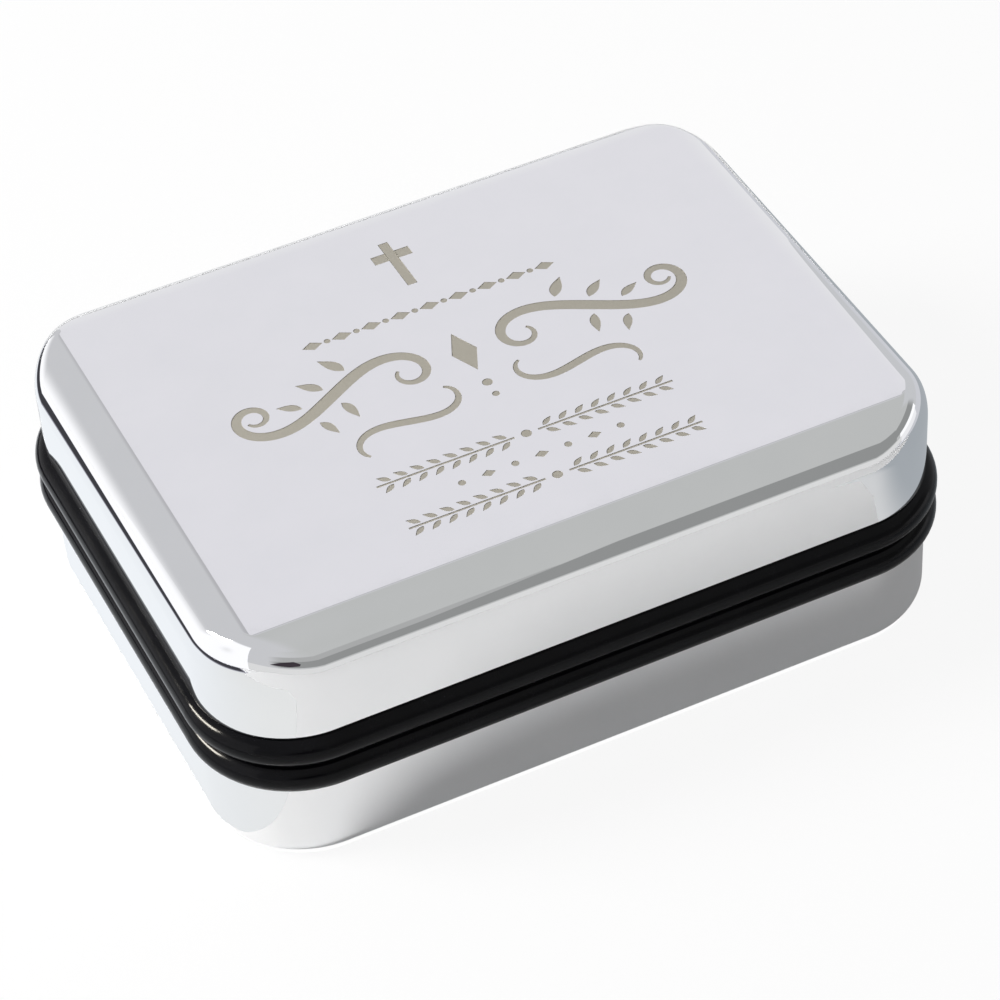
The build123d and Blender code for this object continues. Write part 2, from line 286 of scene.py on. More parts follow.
def board_material():
    """Grey-brown pasteboard with short fibres."""
    material, tree, shader = new_material("pasteboard", Roughness=0.9)
    fibres = noise(tree, 2600.0, 5.0, 0.75)
    tone = blended(tree, spread(tree, fibres), (0.20, 0.18, 0.15), (0.34, 0.31, 0.27))
    tree.links.new(tone, shader.inputs["Base Color"])
    tree.links.new(bump(tree, fibres, 0.03 * MM, 0.7), shader.inputs["Normal"])
    return material


chrome = chrome_material()
engraved = engraved_material()
black_plastic = bead_material()
leaf_steel = steel_material("leaf_steel", (0.66, 0.66, 0.67), along_x=True)
# painted shade: the screws' steel is much darker than the leaves', standing in for the shadow
# round their sunk heads
screw_steel = steel_material("screw_steel", (0.30, 0.30, 0.31), along_x=False)
velvet = velvet_material()
pasteboard = board_material()


# ---------------------------------------------------------------- metal shells
def lid_edge(inset, tilt):
    """A ring of the lid's rounded edge, tilt degrees down from the flat top.

    Its corners grow from the flat panel's small ones to those of the wall.
    """
    radius = LID_EDGE - inset
    turn = math.radians(tilt)
    side = inset + radius * (1 - math.sin(turn))
    height = LID_TOP - inset - radius * (1 - math.cos(turn))
    corner = PANEL_CORNER + (WALL_CORNER - inset - PANEL_CORNER) * math.sin(turn)
    return rounded_ring(side, corner, height)


def base_edge(inset, tilt):
    """A ring of the base's rounded foot, tilt degrees up from the flat underside."""
    radius = BASE_EDGE - inset
    turn = math.radians(tilt)
    side = inset + radius * (1 - math.sin(turn))
    height = inset + radius * (1 - math.cos(turn))
    return rounded_ring(side, WALL_CORNER - side, height)


def shell_skin(name, flat, edge_at, steps, curve_end, mouth, opens):
    """A shell's skin, from its flat over the rolled mouth and back on the inside.

    Opens is 1 where the mouth opens upwards, and -1 where it opens downwards.
    """
    tilts = [90 * step / steps for step in range(steps + 1)]
    outside = [edge_at(0, tilt) for tilt in tilts]
    inside = [edge_at(SHEET, tilt) for tilt in reversed(tilts)]
    wall_ends = (curve_end + opens * GUARD, mouth - opens * (SHEET / 2 + GUARD))
    wall = [rounded_ring(0, WALL_CORNER, height) for height in wall_ends]
    rolled = []
    for step in range(MOUTH_STEPS + 1):
        turn = math.pi * step / MOUTH_STEPS
        inset = SHEET / 2 * (1 - math.cos(turn))
        height = mouth - opens * (SHEET / 2 * (1 - math.sin(turn)))
        rolled.append(rounded_ring(inset, WALL_CORNER - inset, height))
    inner = rounded_ring(SHEET, WALL_CORNER - SHEET, mouth - opens * SHEET)
    return mesh_from_rings(name, [flat, *outside, *wall, *rolled, inner, *inside])


lid_flat = rounded_ring(LID_EDGE + GUARD, PANEL_CORNER / 2, LID_TOP)
base_flat = rounded_ring(BASE_EDGE + GUARD, WALL_CORNER - BASE_EDGE - GUARD, 0)
lid_skin = shell_skin("lid_skin", lid_flat, lid_edge, LID_STEPS, LID_TOP - LID_EDGE, LID_MOUTH, -1)
base_skin = shell_skin("base_skin", base_flat, base_edge, BASE_STEPS, BASE_EDGE, BASE_MOUTH, 1)
set_material(lid_skin, chrome)
set_material(base_skin, chrome)
for piece, body, cad_node in ((lid_skin, "lid", "lid_shell"), (base_skin, "base", "base_shell")):
    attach(piece, body)
    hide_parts(cad_node)

# ---------------------------------------------------------------- engraving on the lid
CUT = 0.05 * MM             # depth of the engraving
POINT = 0.02                # half the width of a stroke at its point, in millimetres
SHARP = math.radians(50.0)  # an edge that is bent more than this stays sharp


def scroll(middle, heading, bend, power, back_reach, reach, steps):
    """Points of an S-shaped scroll, whose bend grows away from its middle either way.

    It reaches back_reach one way and reach the other, with as many steps each way.
    """
    runs = []
    for length, sign in ((back_reach, -1), (reach, 1)):
        x, y = middle
        turn = math.radians(heading)
        step = length / steps
        run = []
        for index in range(steps):
            x += sign * math.cos(turn) * step
            y += sign * math.sin(turn) * step
            run.append((x, y))
            turn += bend * ((index + 0.5) * step) ** power * step
        runs.append(run)
    return [*runs[0][::-1], middle, *runs[1]]


def stroke(points, widest, thinnest):
    """The outline of a pen stroke along points, in quads, thin at its ends."""
    sides = []
    last = len(points) - 1
    for index, (x, y) in enumerate(points):
        x0, y0 = points[max(index - 1, 0)]
        x1, y1 = points[min(index + 1, last)]
        length = math.hypot(x1 - x0, y1 - y0)
        half = (thinnest + (widest - thinnest) * math.sin(math.pi * index / last) ** 0.7) / 2
        across = ((y0 - y1) / length * half, (x1 - x0) / length * half)
        sides.append(((x + across[0], y + across[1]), (x - across[0], y - across[1])))
    return sides


def leaf(x, y, heading, length, width, bow=0.0):
    """The outline of a leaf from its foot, in quads; bow bends it to the left."""
    turn = math.radians(heading)
    sides = []
    steps = 8
    for index in range(steps + 1):
        share = index / steps
        half = max(width / 2 * math.sin(math.pi * share ** 0.8), POINT)
        pair = []
        for offset in (half, -half):
            along = share * length
            aside = offset + bow * share * share * length
            pair.append((x + along * math.cos(turn) - aside * math.sin(turn),
                         y + along * math.sin(turn) + aside * math.cos(turn)))
        sides.append(tuple(pair))
    return sides


def bar(x0, x1, y0, y1):
    """A straight bar, in quads."""
    return [((x0, y1), (x0, y0)), ((x1, y1), (x1, y0))]


def lozenge(x, y, width, height):
    """A lozenge, as a bar that swells from point to point."""
    return [((x - width / 2, y + POINT), (x - width / 2, y - POINT)),
            ((x, y + height / 2), (x, y - height / 2)),
            ((x + width / 2, y + POINT), (x + width / 2, y - POINT))]


def dot(x, y, radius):
    """A round dot, in quads."""
    steps = 10
    sides = []
    for index in range(steps + 1):
        turn = math.pi * index / steps
        half = max(radius * math.sin(turn), POINT)
        along = x - radius * math.cos(turn)
        sides.append(((along, y + half), (along, y - half)))
    return sides


def ornament():
    """Every stroke of the ornament in plan, in millimetres: a cross, rows and scrolls."""
    middle = [bar(-0.55, 0.55, 14.45, 22.1), bar(-2.15, -0.5501, 19.1, 20.45),
              bar(0.5501, 2.15, 19.1, 20.45)]
    middle += [lozenge(3.3 * place, 10.4, 2.2, 1.3) for place in range(-4, 5)]
    middle += [dot(3.3 * (place + 0.5), 10.4, 0.35) for place in range(-4, 4)]
    middle += [lozenge(0, 2.0, 2.8, 6.4), dot(0, -3.4, 0.55), dot(0, -5.4, 0.4)]
    for place in range(-3, 4):
        x = 2.9 * place
        middle.append(dot(x, -15.75, 0.4) if place % 2 else lozenge(x, -15.75, 1.5, 1.0))
    right = [stroke(scroll((14.6, 2.3), -30, 0.0082, 1.6, 18.5, 20.5, 70), 1.45, 0.3),
             stroke(scroll((9.4, -5.0), 14, -0.045, 1.3, 9.0, 8.6, 50), 1.0, 0.28)]
    right += [leaf(11.9, 5.3, 64, 3.2, 1.3, -0.16), leaf(15.0, 3.6, 50, 2.9, 1.15, -0.16),
              leaf(18.0, 2.0, 38, 2.6, 1.0, -0.16), leaf(14.2, 0.9, -116, 2.9, 1.1, 0.18),
              leaf(17.3, -0.8, -126, 2.6, 1.0, 0.18)]
    for y, end in ((-12.3, 16.3), (-19.2, 16.0)):
        middle.append(dot(0, y, 0.55))
        right.append(bar(1.3, end, y - 0.125, y + 0.125))
        for place in range(8):
            x = 2.0 + 1.8 * place
            right += [leaf(x, y + 0.33, 35, 1.5, 0.62), leaf(x, y - 0.33, -35, 1.5, 0.62)]
    left = [[((-a, b), (-c, d)) for (a, b), (c, d) in sides] for sides in right]
    return middle + right + left


def engraving_tool():
    """Closed prisms along every stroke, from the engraving's floor to above the lid's top."""
    build = bmesh.new()
    for sides in ornament():
        add_tube(build, [[(x * MM, y * MM, LID_TOP + rise) for (x, y), rise in
                          ((left, -CUT), (right, -CUT), (right, CUT), (left, CUT))]
                         for left, right in sides])
    made = piece_from("engraving_tool", build)
    set_material(made, engraved)
    return made


tool = engraving_tool()
cut = lid_skin.modifiers.new("engraving", "BOOLEAN")
cut.operation = "DIFFERENCE"
cut.solver = "EXACT"
cut.material_mode = "TRANSFER"
cut.object = tool
apply_modifiers(lid_skin)
bpy.data.objects.remove(tool)
lid_skin.data.set_sharp_from_angle(angle=SHARP)

# ---------------------------------------------------------------- velvet linings
NAP = 0.6 * MM              # thickness of velvet with its pile
STITCH = 1.2 * MM           # spacing of the lining's mesh along the wall
JOINT = 0.3 * MM            # gap where a wall lining meets itself
LID_TUCK = 2.2 * MM         # the lid lining's reach behind the pad's rounded edge
LINING_LIP = 0.1 * MM       # width of the bevel on the lining's glued upper edge
LINING_FALL = 0.02 * MM     # height of that bevel
LINING_ROWS = 7
PILE_WAVE = 0.05 * MM       # how far the pile's waves press the lining's face outwards
PILE_COARSE = 260.0         # the waves' sizes, in features per metre
PILE_FINE = 900.0


def lining_section(inset, low_z, high_z):
    """The lining's cross-section as pairs of inset and height, from its upper glued edge."""
    soft = NAP / 2
    section = [(inset, high_z - LINING_FALL), (inset + LINING_LIP, high_z), (inset + soft, high_z)]
    for tilt in range(18, 91, 18):
        turn = math.radians(tilt)
        section.append((inset + soft + soft * math.sin(turn),
                        high_z - soft * (1 - math.cos(turn))))
    for row in range(1, LINING_ROWS + 1):
        height = high_z - soft - (high_z - soft - low_z - soft) * row / LINING_ROWS
        section.append((inset + NAP, height))
    return [*section, (inset + soft, low_z), (inset, low_z)]


def wall_velvet(name, cad_node, tuck=0.0):
    """Velvet glued round the inside of a wall, soft at its edges, meeting itself at the back.

    Tuck is how far it reaches past the CAD strip's upper end, beside the pad there.
    """
    low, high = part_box(cad_node)
    high.z += tuck
    inset = HALF_X - high.x
    section = lining_section(inset, low.z, high.z)
    quarter = CORNER_STEPS + 3          # the points of one corner, with its two guards
    paths = []
    for side, height in section:
        ring = rounded_ring(side, WALL_CORNER - side, height)
        ring = ring[quarter:] + ring[:quarter]
        start = Vector((-JOINT / 2, HALF_Y - side, height))
        end = Vector((JOINT / 2, HALF_Y - side, height))
        paths.append([start, *ring, end])
    columns = []
    for index in range(len(paths[0])):
        column = [path[index] for path in paths]
        if index:
            before = [path[index - 1] for path in paths]
            gaps = max(1, math.ceil((column[0] - before[0]).length / STITCH))
            for gap in range(1, gaps):
                share = gap / gaps
                columns.append([a.lerp(b, share) for a, b in zip(before, column)])
        columns.append(column)
    for column in columns:
        for index, (side, height) in enumerate(section):
            if side < inset + NAP * 0.9:    # only the pile's face waves
                continue
            point = column[index]
            wave = noise_value(point * PILE_COARSE) + 0.5 * noise_value(point * PILE_FINE)
            outward = Vector((point.x / HALF_X, point.y / HALF_Y, 0)).normalized()
            column[index] = point + outward * (PILE_WAVE * (1 + wave))
    strip = mesh_from_rings(name, columns)
    set_material(strip, velvet)
    return strip


PAD_SHRINK = 0.02 * MM      # room left round the pad before it swells
PAD_LIFT = 0.2 * MM         # room left over it
PAD_EDGE = 1.2 * MM         # radius of its upper edge
PAD_CROWN = 0.55 * MM       # rise of its face from the edge towards the middle
PAD_CROWN_REACH = 15 * MM   # how far in that rise goes on
PAD_MIDDLE = 26 * MM        # inset of the innermost ring of its face
PAD_FOOT_IN = 0.4 * MM      # width of its rounded lower edge
PAD_FOOT_UP = 0.5 * MM      # height of that edge
PAD_BACK_INSETS = (6 * MM, 0.5 * MM)    # the two rings of its flat back
PAD_BACK_CORNER = 4 * MM    # corner radius of the inner one
PAD_FACE_CORNER = 1.0 * MM  # least corner radius of a ring at the middle of its face
PAD_FACE_GROWTH = 3.0 * MM  # how much that grows towards the edge
PAD_FOOT_STEPS = 4
PAD_EDGE_STEPS = 8
PAD_FACE_STEPS = 14


def pad_rings(high):
    """A pad's skin on height 0: flat back, rounded sides, crowned face; high is its far corner."""
    inset = HALF_X - high.x + PAD_SHRINK
    shoulder = high.z - PAD_LIFT - PAD_CROWN
    inner, outer = PAD_BACK_INSETS
    rings = [rounded_ring(inset + inner, PAD_BACK_CORNER, 0.0),
             rounded_ring(inset + outer, WALL_CORNER - inset - outer, 0.0)]
    for step in range(PAD_FOOT_STEPS + 1):
        turn = math.radians(90 * step / PAD_FOOT_STEPS)
        side = inset + PAD_FOOT_IN * (1 - math.sin(turn))
        height = PAD_FOOT_UP * (1 - math.cos(turn))
        rings.append(rounded_ring(side, WALL_CORNER - side, height))
    for step in range(PAD_EDGE_STEPS + 1):
        turn = math.radians(90 * step / PAD_EDGE_STEPS)
        side = inset + PAD_EDGE * (1 - math.cos(turn))
        height = shoulder - PAD_EDGE + PAD_EDGE * math.sin(turn)
        rings.append(rounded_ring(side, WALL_CORNER - side, height))
    reach = PAD_MIDDLE - inset
    for step in range(1, PAD_FACE_STEPS + 1):
        share = (step / PAD_FACE_STEPS) ** 1.5
        side = inset + PAD_EDGE + (reach - PAD_EDGE) * share
        rise = 1 - (1 - min(1.0, (side - inset - PAD_EDGE) / PAD_CROWN_REACH)) ** 2
        corner = max(WALL_CORNER - side, PAD_FACE_CORNER + PAD_FACE_GROWTH * (1 - share))
        rings.append(rounded_ring(side, corner, shoulder + PAD_CROWN * rise))
    return rings


PAD_SCALE = 10.0                        # the pad is simulated at ten times its size
PAD_VOXEL = 0.9 * MM * PAD_SCALE
PAD_GLUED = 1.0 * MM * PAD_SCALE        # it is held below this height
PAD_PLAY = 0.42 * MM * PAD_SCALE        # how far a point of it may move
PAD_FRAMES = 20                         # length of the simulation
PAD_PRESSURE = 4.0
PAD_STIFFNESS = 15.0


def inflate(pad):
    """Swells the pad by a short cloth simulation under pressure, held at its back."""
    for vertex in pad.data.vertices:
        vertex.co *= PAD_SCALE
    remesh = pad.modifiers.new("remesh", "REMESH")
    remesh.mode = "VOXEL"
    remesh.voxel_size = PAD_VOXEL
    remesh.use_smooth_shade = True
    apply_modifiers(pad)
    start = [vertex.co.copy() for vertex in pad.data.vertices]
    held = pad.vertex_groups.new(name="held")
    glued = [vertex.index for vertex in pad.data.vertices if vertex.co.z < PAD_GLUED]
    held.add(glued, 1.0, "REPLACE")
    cloth = pad.modifiers.new("cloth", "CLOTH")
    cloth.settings.quality = 6
    cloth.settings.mass = 0.3
    cloth.settings.vertex_group_mass = "held"
    cloth.settings.use_pressure = True
    cloth.settings.uniform_pressure_force = PAD_PRESSURE
    cloth.settings.effector_weights.gravity = 0.0
    cloth.settings.tension_stiffness = PAD_STIFFNESS
    cloth.settings.compression_stiffness = PAD_STIFFNESS
    cloth.settings.bending_stiffness = 0.5
    cloth.settings.shrink_min = -0.02
    cloth.collision_settings.use_collision = False
    cloth.point_cache.frame_start = 1
    cloth.point_cache.frame_end = PAD_FRAMES
    for frame_number in range(1, PAD_FRAMES + 1):
        scene.frame_set(frame_number)
    apply_modifiers(pad)
    pad.vertex_groups.clear()
    for vertex, first in zip(pad.data.vertices, start):
        move = vertex.co - first
        if move.length > PAD_PLAY:
            vertex.co = first + move * (PAD_PLAY / move.length)
        vertex.co /= PAD_SCALE
    scene.frame_set(1)
    shade_smooth(pad)


def velvet_pad(name, cad_node, upside_down):
    """A foam pad in velvet, inflated from a slightly smaller shape and kept in its CAD box."""
    low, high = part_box(cad_node)
    bottom = low.z
    low, high = Vector((*low.xy, 0)), Vector((*high.xy, high.z - bottom))
    pad = mesh_from_rings(name, pad_rings(high))
    set_material(pad, velvet)
    inflate(pad)
    for vertex in pad.data.vertices:
        x, y, z = vertex.co
        x = min(max(x, low.x), high.x)
        y = min(max(y, low.y), high.y)
        z = min(max(z, 0.0), high.z)
        vertex.co = (x, y, bottom + (high.z - z if upside_down else z))
    if upside_down:
        pad.data.flip_normals()
    return pad


linings = (
    (wall_velvet("lid_lining", "lid_wall_velvet", LID_TUCK), "lid", ("lid_wall_velvet",)),
    (wall_velvet("base_lining", "base_wall_velvet"), "base", ("base_wall_velvet",)),
    (velvet_pad("lid_pad", "lid_pad_cover", True), "lid", ("lid_pad_cover", "lid_pad_foam")),
    (velvet_pad("base_pad", "base_pad_cover", False), "base", ("base_pad_cover", "base_pad_foam")),
)
for piece, body, nodes_replaced in linings:
    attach(piece, body)
    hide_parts(*nodes_replaced)

# ---------------------------------------------------------------- the CAD's own pieces
finishes = {
    "lid_rim": black_plastic,
    "base_rim": black_plastic,
    "lid_hinge_leaf": leaf_steel,
    "base_hinge_leaf": leaf_steel,
    "hinge_pin": leaf_steel,
    "lid_hinge_screws": screw_steel,
    "base_hinge_screws": screw_steel,
    "lid_wall_card": pasteboard,
    "base_wall_card": pasteboard,
    "lid_pad_board": pasteboard,
    "base_pad_board": pasteboard,
}
for name, material in finishes.items():
    set_material(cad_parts[name], material)

# ---------------------------------------------------------------- camera
VIEW_YAW = math.radians(-22.763)
VIEW_HEIGHT = math.radians(43.499)
VIEW_ROLL = math.radians(-4.31)
VIEW_DISTANCE = 389.3 * MM
VIEW_SHIFT = (0.0119, 0.0653)   # of the picture's frame, as shares of its width
SENSOR = 36.0
FOCAL_SHARE = 3.6585            # focal length as a share of the picture's width

back = Vector((
    math.sin(VIEW_YAW) * math.cos(VIEW_HEIGHT),
    -math.cos(VIEW_YAW) * math.cos(VIEW_HEIGHT),
    math.sin(VIEW_HEIGHT),
))
level = Vector((math.cos(VIEW_YAW), math.sin(VIEW_YAW), 0))
rise = back.cross(level)
right = level * math.cos(VIEW_ROLL) + rise * math.sin(VIEW_ROLL)
up = rise * math.cos(VIEW_ROLL) - level * math.sin(VIEW_ROLL)

camera_data = bpy.data.cameras.new("camera")
camera_data.sensor_width = SENSOR
camera_data.lens = SENSOR * FOCAL_SHARE
camera_data.shift_x, camera_data.shift_y = VIEW_SHIFT
camera_data.clip_start = 0.01
camera_data.clip_end = 20.0
camera = linked("camera", camera_data)
turned = Matrix((right, up, back)).transposed().to_4x4()
turned.translation = back * VIEW_DISTANCE
camera.matrix_world = turned
scene.camera = camera

# ---------------------------------------------------------------- stage and light
scene.view_settings.view_transform = "Standard"


def light_material(name):
    """A material that only shines, and the socket that its colour goes to."""
    material, tree, shader = new_material(name)
    tree.nodes.remove(shader)
    light = tree.nodes.new("ShaderNodeEmission")
    tree.links.new(light.outputs["Emission"], tree.nodes["Material Output"].inputs["Surface"])
    return material, tree, light.inputs["Color"]


def glow(name, first, last, axis, low, high):
    """A card's own light, from one tone at low to another at high, along X, Y or Z."""
    material, tree, colour = light_material(name)
    place = tree.nodes.new("ShaderNodeTexCoord")
    axes = tree.nodes.new("ShaderNodeSeparateXYZ")
    scale = tree.nodes.new("ShaderNodeMapRange")
    scale.interpolation_type = "SMOOTHSTEP"
    scale.inputs["From Min"].default_value = low
    scale.inputs["From Max"].default_value = high
    tree.links.new(place.outputs["Object"], axes.inputs["Vector"])
    tree.links.new(axes.outputs[axis], scale.inputs["Value"])
    tree.links.new(blended(tree, scale.outputs["Result"], first, last), colour)
    return material


def staged(name, points, faces, material):
    """A piece of the studio that metal mirrors, and that neither camera nor floor sees."""
    mesh = bpy.data.meshes.new(name)
    mesh.from_pydata(points, [], faces)
    panel = linked(name, mesh)
    set_material(panel, material)
    panel.visible_camera = False
    panel.visible_diffuse = False
    panel.visible_shadow = False
    return panel


def card(name, corners, first, last=None, axis="Z", low=0.0, high=1.0):
    """A flat studio card in one tone, or from a first tone at low to a last one at high."""
    material = glow(name, first, last or first, axis, low, high)
    points = [Vector(corner) for corner in corners]
    return staged(name, points, [tuple(range(len(corners)))], material)


PAINTED_COLUMNS = 72
PAINTED_ROWS = 60


def painted(name, start, end, top, tone_at):
    """An upright card from the floor, whose tone is a function of the place on it."""
    points = []
    for row in range(PAINTED_ROWS + 1):
        for column in range(PAINTED_COLUMNS + 1):
            share = column / PAINTED_COLUMNS
            points.append(Vector((start[0] + (end[0] - start[0]) * share,
                                  start[1] + (end[1] - start[1]) * share,
                                  top * row / PAINTED_ROWS)))
    width = PAINTED_COLUMNS + 1
    firsts = [row * width + column
              for row in range(PAINTED_ROWS) for column in range(PAINTED_COLUMNS)]
    faces = [(first, first + 1, first + width + 1, first + width) for first in firsts]
    material, tree, colour = light_material(name)
    source = tree.nodes.new("ShaderNodeAttribute")
    source.attribute_name = "tone"
    tree.links.new(source.outputs["Color"], colour)
    panel = staged(name, points, faces, material)
    tones = panel.data.color_attributes.new("tone", "FLOAT_COLOR", "POINT")
    for index, point in enumerate(points):
        tones.data[index].color = (*tone_at(point), 1.0)
    return panel


def eased(value, low, high):
    """0 below low, 1 above high, and a smooth step between them."""
    share = min(max((value - low) / (high - low), 0.0), 1.0)
    return share * share * (3 - 2 * share)


def upright(name, start, end, bottom, top, *tones):
    """An upright card between two points of the floor, from height bottom to height top."""
    corners = [(*start, bottom), (*end, bottom), (*end, top), (*start, top)]
    return card(name, corners, *tones)


def flat_sheet(name, points, *tones):
    """A card lying on the floor, through points in plan."""
    return card(name, [(x, y, SHEET_HEIGHT) for x, y in points], *tones)


def mirrored_in_top(x, y, wall_y):
    """Where the camera sees an upright wall at wall_y, mirrored in the lid's flat top at x, y."""
    eye = back * VIEW_DISTANCE
    eye.z = 2 * LID_TOP - eye.z
    ray = Vector((x, y, LID_TOP)) - eye
    return eye + ray * ((wall_y - eye.y) / ray.y)


TENT = 1.0                  # half the width of the room of cards
CEILING = TENT * math.tan(math.radians(50.0))
LOW_EDGE = TENT * math.tan(math.radians(3.0))
WHITE_TOP = TENT * math.tan(math.radians(33.0))
SHEET_HEIGHT = 0.1 * MM     # the cards on the floor lie this far above it

grey = (0.560, 0.570, 0.565)
mid = (0.455, 0.460, 0.460)
dim = (0.315, 0.322, 0.320)
shade = (0.515, 0.515, 0.535)
pale = (0.62, 0.63, 0.65)
snow = (1.15, 1.15, 1.17)
soft_grey = (0.64, 0.645, 0.665)
ink = (0.05, 0.04, 0.05)
lavender = (0.828, 0.820, 0.862)
bright = (0.87, 0.87, 0.89)
skylight = (84.0, 80.0, 70.0)

# walls and ceiling: soft grey above, white low behind and at the left, grey to the right
left_end = (-TENT, -0.56)
right_start = (TENT, 0.10)
card("ceiling", [(-TENT, TENT, CEILING), (TENT, TENT, CEILING), (TENT, -TENT, CEILING),
                 (-TENT, -TENT, CEILING)], soft_grey, grey, "X", -0.10, 0.35)
upright("front_wall", (-TENT, -TENT), (TENT, -TENT), 0.0, CEILING,
        soft_grey, grey, "X", -0.5, 0.4)
upright("front_left_wall", (-TENT, -TENT), left_end, 0.0, CEILING, soft_grey)
upright("right_wall", (TENT, -TENT), right_start, 0.0, CEILING, grey, pale, "Y", -0.25, 0.10)
upright("back_right_wall", right_start, (TENT, TENT), 0.0, CEILING, pale)
upright("back_wall", (TENT, TENT), (-TENT, TENT), 0.0, WHITE_TOP,
        snow, soft_grey, "Z", 0.0, WHITE_TOP)
upright("back_wall_top", (TENT, TENT), (-TENT, TENT), WHITE_TOP, CEILING, soft_grey)

# the left wall's white, in degrees: round the box from +X, and up from the floor
WHITE_HEADINGS = (134, 166)     # between these its edge rises to the front
WHITE_HEIGHT = 16               # middle of its edge behind, and how much that rises
WHITE_RISE = 26
WHITE_SOFT = 11                 # half the width of its edge behind, and how much that narrows
WHITE_NARROWS = 8
DIP = 0.16                      # depth of a faint shade on the white
DIP_PLACE = (180, 12)           # its middle: heading and height
DIP_REACH = (7, 6)              # its reach both ways


def left_tone(point):
    """White low on the left wall, and higher up towards the front, where it stands nearer."""
    heading = math.degrees(math.atan2(point.y, point.x)) % 360
    height = math.degrees(math.atan2(point.z, point.xy.length))
    nearer = eased(heading, *WHITE_HEADINGS)
    middle = WHITE_HEIGHT + WHITE_RISE * nearer
    soft = WHITE_SOFT - WHITE_NARROWS * nearer
    greyness = eased(height, middle - soft, middle + soft)
    aside = (heading - DIP_PLACE[0]) / DIP_REACH[0]
    above = (height - DIP_PLACE[1]) / DIP_REACH[1]
    dip = 1 - DIP * math.exp(-aside ** 2 - above ** 2)
    return [(high + (low - high) * greyness) * dip for high, low in zip(snow, soft_grey)]


painted("left_wall", (-TENT, TENT), left_end, CEILING, left_tone)
card("skylight", [(-0.460, 0.386, 0.235), (-0.587, 0.125, 0.346), (-0.587, 0.125, 0.500),
                  (-0.460, 0.386, 0.310)], skylight)

# the dim band low in front, whose upper edge steps up to the right, with a dark spot before it
FRONT_Y = -0.98 * TENT
BAND_LEFT = -0.78 * TENT
LAYER = 0.01                # spacing of cards that stand one before the other


def front_card(name, layer, points, *tones):
    """An upright card before the front wall, through points given by X and Z."""
    return card(name, [(x, FRONT_Y + layer * LAYER, z) for x, z in points], *tones)


front_card("front_mid", -1, [(BAND_LEFT, LOW_EDGE), (0.34, LOW_EDGE), (0.34, 0.60),
                             (BAND_LEFT, 0.60)], soft_grey, mid, "X", BAND_LEFT, -0.30)
front_card("front_band", 0, [(BAND_LEFT, LOW_EDGE), (TENT, LOW_EDGE), (TENT, 0.66), (0.38, 0.66),
                             (0.25, 0.35), (BAND_LEFT, 0.30)],
           soft_grey, dim, "X", BAND_LEFT, -0.45)
front_card("front_lens", 1, [(-0.72, 0.12), (-0.30, 0.09), (-0.14, 0.13), (-0.10, 0.22),
                             (-0.18, 0.34), (-0.45, 0.27)], ink)
upright("right_band", (0.98 * TENT, -TENT), (0.98 * TENT, 0.10), 3 * LOW_EDGE, 0.60,
        dim, pale, "Y", -0.20, 0.10)
upright("right_low", (0.97 * TENT, -0.80), (0.97 * TENT, -0.06), 0.0, 3 * LOW_EDGE, snow)

# the pale card that the flat top mirrors: it ends where the panel's front and left creases are
CARD_Y = 0.9 * TENT
CREASE_ROOM = 0.3 * MM      # the card's edge shows this far outside the creases
MARGIN = 0.16               # width of the shaded margin at the card's left
MARGIN_ABOVE = 0.05         # how far the margin stands over the card
MARGIN_BEHIND = 0.02        # how far it stands behind it
panel_x = HALF_X - LID_EDGE
panel_y = HALF_Y - LID_EDGE
near_left = mirrored_in_top(-panel_x - CREASE_ROOM, -panel_y - CREASE_ROOM, CARD_Y)
far_left = mirrored_in_top(-panel_x - CREASE_ROOM, panel_y, CARD_Y)
near_right = mirrored_in_top(panel_x, -panel_y - CREASE_ROOM, CARD_Y)
left_slope = (far_left - near_left) / (near_left.z - far_left.z)
low_left = near_left + left_slope * near_left.z
near_slope = (near_right - near_left) / (near_right.x - near_left.x)
high_right = near_left + near_slope * (TENT - near_left.x)
card("top_card", [low_left, (TENT, CARD_Y, 0), high_right, near_left],
     bright, lavender, "Z", 0.0, near_left.z)
card("top_margin", [low_left + Vector((-MARGIN, MARGIN_BEHIND, 0)),
                    (TENT, CARD_Y + MARGIN_BEHIND, 0),
                    high_right + Vector((0, MARGIN_BEHIND, MARGIN_ABOVE)),
                    near_left + Vector((-MARGIN, MARGIN_BEHIND, MARGIN_ABOVE))],
     soft_grey, shade, "X", near_left.x - MARGIN, near_left.x - 0.02)

# what lies round the box on the floor, as the walls and the rounded edges mirror it: painted
# reflections, sheets that only metal sees, whose painted light and shade stand in for the floor's
# own
parting_start = (-0.120, -0.075)        # the left and front sheets meet on this line
parting_end = (-TENT, -0.562)
flat_sheet("left_sheet", [parting_start, (-0.120, 0.90), (-TENT, 0.90), parting_end], snow)
flat_sheet("front_sheet", [parting_start, (-0.105, -0.125), (TENT, -0.125), (TENT, -TENT),
                           (-TENT, -TENT), parting_end], (0.80, 0.80, 0.80))
flat_sheet("right_sheet", [(0.115, -0.120), (TENT, -0.120), (TENT, 0.90), (0.115, 0.90)],
           (0.66, 0.67, 0.71))
flat_sheet("right_shade", [(0.041, -0.064), (0.115, -0.064), (0.115, 0.060), (0.052, 0.060),
                           (0.052, -0.020), (0.049, -0.034), (0.041, -0.045)],
           (0.70, 0.71, 0.72), (0.41, 0.44, 0.47), "X", 0.041, 0.056)
# painted shade: darker close to the box's back and lighter farther off, as the back walls mirror
# the floor there
flat_sheet("back_painted_shade", [(-0.040, 0.033), (0.051, 0.033), (0.051, 0.150), (-0.040, 0.150)],
           (0.72, 0.73, 0.75), (0.90, 0.90, 0.91), "Y", 0.033, 0.150)
right_glare = flat_sheet("right_glare", [(0.134, -0.105), (0.166, -0.039), (0.97, -0.109),
                                         (0.97, -0.75), (0.80, -0.62)], (0.96, 0.96, 0.98))
right_glare.location.z = SHEET_HEIGHT
